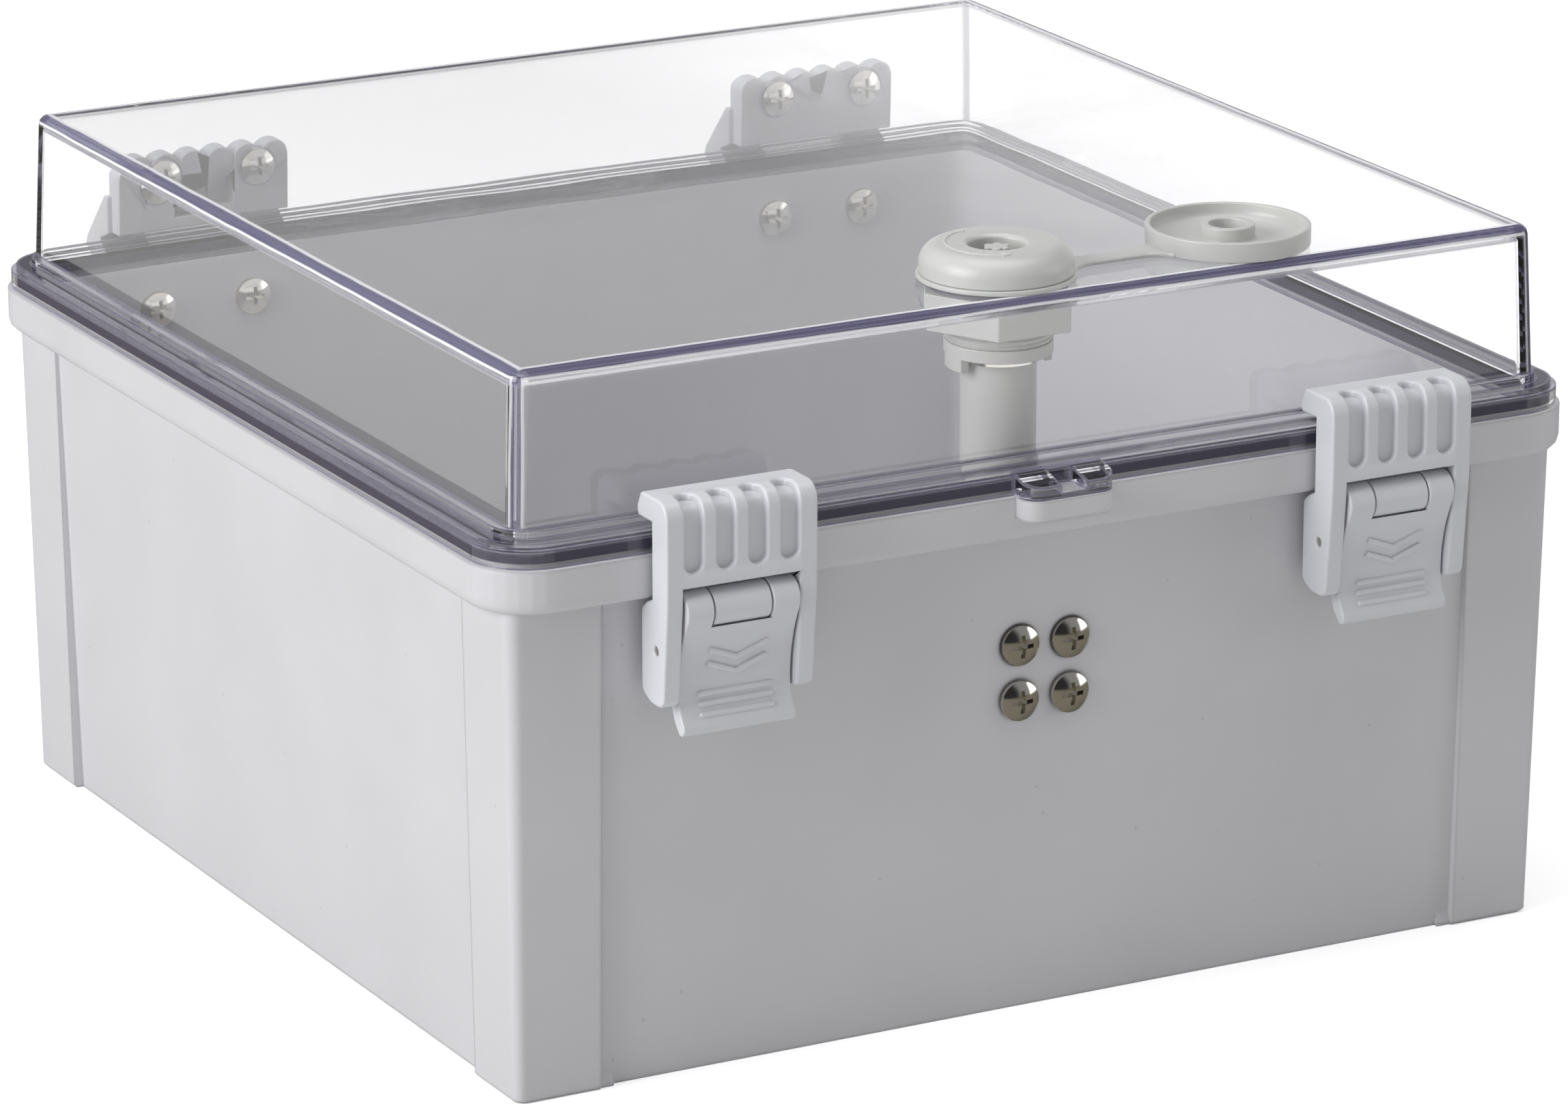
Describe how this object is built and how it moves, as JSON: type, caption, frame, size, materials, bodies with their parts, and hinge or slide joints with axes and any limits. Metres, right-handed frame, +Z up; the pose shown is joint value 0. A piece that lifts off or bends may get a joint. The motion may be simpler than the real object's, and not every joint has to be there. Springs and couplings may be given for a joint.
{
  "type": "hinged polycarbonate enclosure",
  "caption": "Square wall box for electronics: opaque grey base, clear raised hinged cover, two front draw latches and a quarter-turn lock with a tethered weather cap.",
  "frame": {"origin": "centre of the base's underside, which is the bottom centre of the whole part", "axes": "+Z up out of the base through the cover, +Y towards the hinges, -Y towards the latches, +X to the right as seen from the latches"},
  "size_m": [0.3, 0.3202, 0.1875],
  "materials": {
    "base_grey": "fine satin moulding, light grey polycarbonate",
    "clear_cover": "clear polycarbonate, polished",
    "latch_grey": "satin moulding, slightly bluish light grey",
    "port_grey": "satin moulding, warm light grey",
    "seal_black": "matt silicone or EPDM seal",
    "bright_steel": "bright stainless",
    "brass": "plain turned"
  },
  "bodies": {
    "base": {"base_shell": "base_grey", "floor_inserts": "brass", "hinge_leaf_lower_left": "latch_grey", "hinge_leaf_lower_right": "latch_grey", "hinge_screws_lower": "bright_steel", "latch_bracket_left": "latch_grey", "latch_bracket_right": "latch_grey", "latch_bracket_screws": "bright_steel", "latch_pivot_pin_left": "bright_steel", "latch_pivot_pin_right": "bright_steel", "strike_bracket": "bright_steel", "strike_screws": "bright_steel", "strike_nuts": "bright_steel"},
    "lid": {"lid_cover": "clear_cover", "rim_gasket": "seal_black", "hinge_leaf_upper_left": "latch_grey", "hinge_leaf_upper_right": "latch_grey", "hinge_pin_left": "bright_steel", "hinge_pin_right": "bright_steel", "hinge_screws_upper": "bright_steel", "lock_body": "port_grey", "lock_seal": "seal_black", "lock_nut": "port_grey", "lock_collar": "port_grey", "cap_tether": "port_grey"},
    "lever_left": {"latch_lever_left": "latch_grey", "hook_pin_left": "bright_steel"},
    "hook_left": {"latch_hook_left": "latch_grey"},
    "lever_right": {"latch_lever_right": "latch_grey", "hook_pin_right": "bright_steel"},
    "hook_right": {"latch_hook_right": "latch_grey"},
    "lock": {"lock_core": "port_grey", "core_ring": "bright_steel", "lock_cam": "bright_steel", "cam_screw": "bright_steel"},
    "cap": {"sealing_cap": "port_grey"}
  },
  "joints": [
    {"name": "lid_hinge", "type": "hinge", "parent": "base", "child": "lid", "pos_m": [0, 0.1553, 0.1336], "axis": [-1, 0, 0], "range_deg": [0, 110]},
    {"name": "lever_left_swing", "type": "hinge", "parent": "base", "child": "lever_left", "pos_m": [-0.0907, -0.1552, 0.1207], "axis": [-1, 0, 0], "range_deg": [0, 120]},
    {"name": "hook_left_lift", "type": "hinge", "parent": "lever_left", "child": "hook_left", "pos_m": [-0.0907, -0.1533, 0.1111], "axis": [-1, 0, 0], "range_deg": [-120, 0]},
    {"name": "lever_right_swing", "type": "hinge", "parent": "base", "child": "lever_right", "pos_m": [0.0907, -0.1552, 0.1207], "axis": [-1, 0, 0], "range_deg": [0, 120]},
    {"name": "hook_right_lift", "type": "hinge", "parent": "lever_right", "child": "hook_right", "pos_m": [0.0907, -0.1533, 0.1111], "axis": [-1, 0, 0], "range_deg": [-120, 0]},
    {"name": "lock_turn", "type": "hinge", "parent": "lid", "child": "lock", "pos_m": [0, -0.1185, 0.14], "axis": [0, 0, -1], "range_deg": [0, 90]},
    {"name": "cap_flip", "type": "hinge", "parent": "lid", "child": "cap", "pos_m": [0.0325, -0.1185, 0.1841], "axis": [0, -1, 0], "range_deg": [0, 180]}
  ],
  "couplings": [
    {"joint": "hook_left_lift", "follows": "lever_left_swing", "ratio": -1},
    {"joint": "hook_right_lift", "follows": "lever_right_swing", "ratio": -1}
  ]
}
